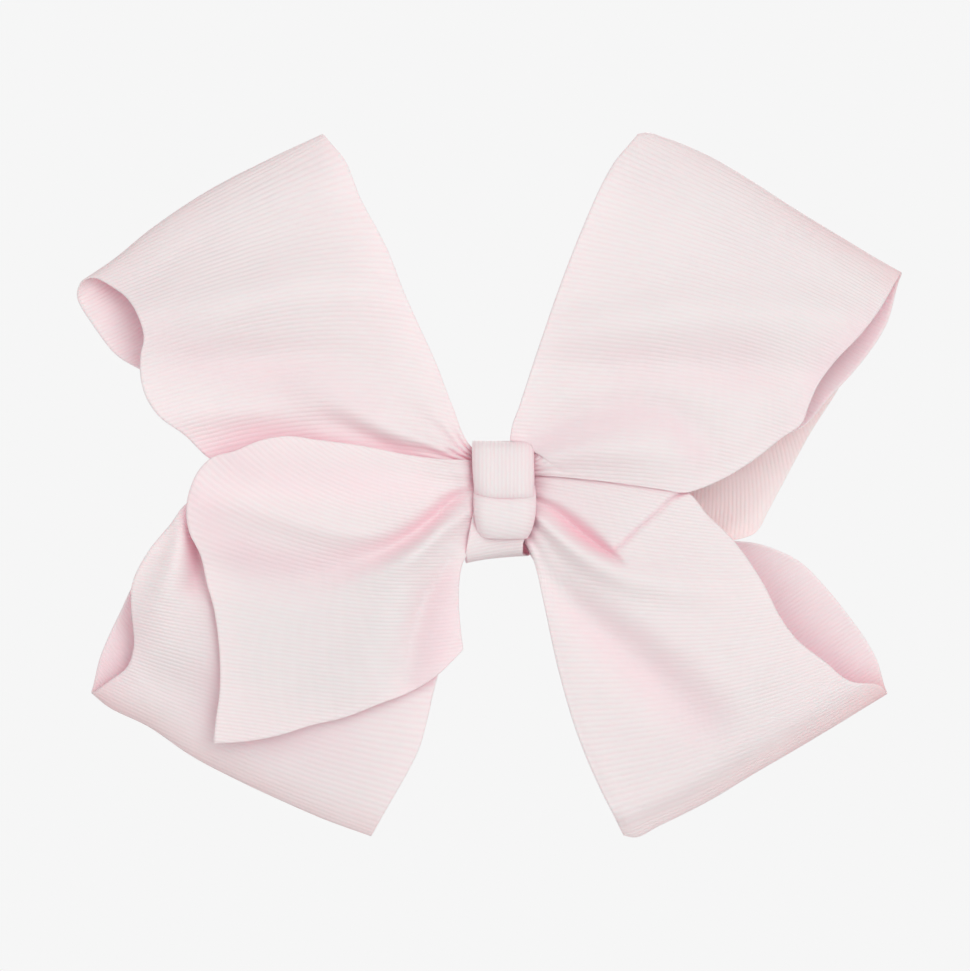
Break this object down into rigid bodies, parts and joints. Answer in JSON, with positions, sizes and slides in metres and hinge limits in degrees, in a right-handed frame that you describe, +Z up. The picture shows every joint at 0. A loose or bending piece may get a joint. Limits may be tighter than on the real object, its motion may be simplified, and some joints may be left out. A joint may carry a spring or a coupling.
{
  "type": "hair bow",
  "caption": "Large grosgrain ribbon hair bow with open loops and slanting tails, gathered under a knotted centre and mounted on a sprung alligator clip.",
  "frame": {"origin": "in the clip's mouth, where the hair is held, straight behind the middle of the knot", "axes": "+X to the viewer's right along the clip towards its handles, +Z up as the bow is worn, -Y out of the bow's face"},
  "size_m": [0.2078, 0.038, 0.1813],
  "materials": {
    "bow_ribbon": "matte ribbed grosgrain",
    "knot_ribbon": "matte ribbed grosgrain",
    "lining_ribbon": "matte ribbed grosgrain",
    "thread": "twisted polyester",
    "glue": "set hot glue",
    "clip_steel": "nickel plated, lightly brushed",
    "pin_steel": "nickel plated",
    "spring_steel": "drawn spring wire"
  },
  "bodies": {
    "bow": {"ribbon_loop_upper_left": "bow_ribbon", "ribbon_loop_upper_right": "bow_ribbon", "ribbon_loop_lower_left": "bow_ribbon", "ribbon_loop_lower_right": "bow_ribbon", "ribbon_tail_left": "bow_ribbon", "ribbon_tail_right": "bow_ribbon", "gathered_waist": "bow_ribbon", "waist_thread": "thread", "centre_band": "knot_ribbon", "knot_upper_fold": "knot_ribbon", "knot_lower_fold": "knot_ribbon", "clip_plate": "clip_steel", "clip_hinge_pin": "pin_steel", "clip_spring_coil": "spring_steel", "clip_lining_ribbon": "lining_ribbon", "glue_pad": "glue"},
    "jaw": {"clip_jaw": "clip_steel", "clip_spring_leg": "spring_steel"}
  },
  "joints": [
    {"name": "clip_hinge", "type": "hinge", "parent": "bow", "child": "jaw", "pos_m": [0.011, 0.0026, 0], "axis": [0, 0, -1], "range_deg": [0, 20], "stiffness_Nm_per_rad": 0.05, "springref_deg": -17.19}
  ]
}
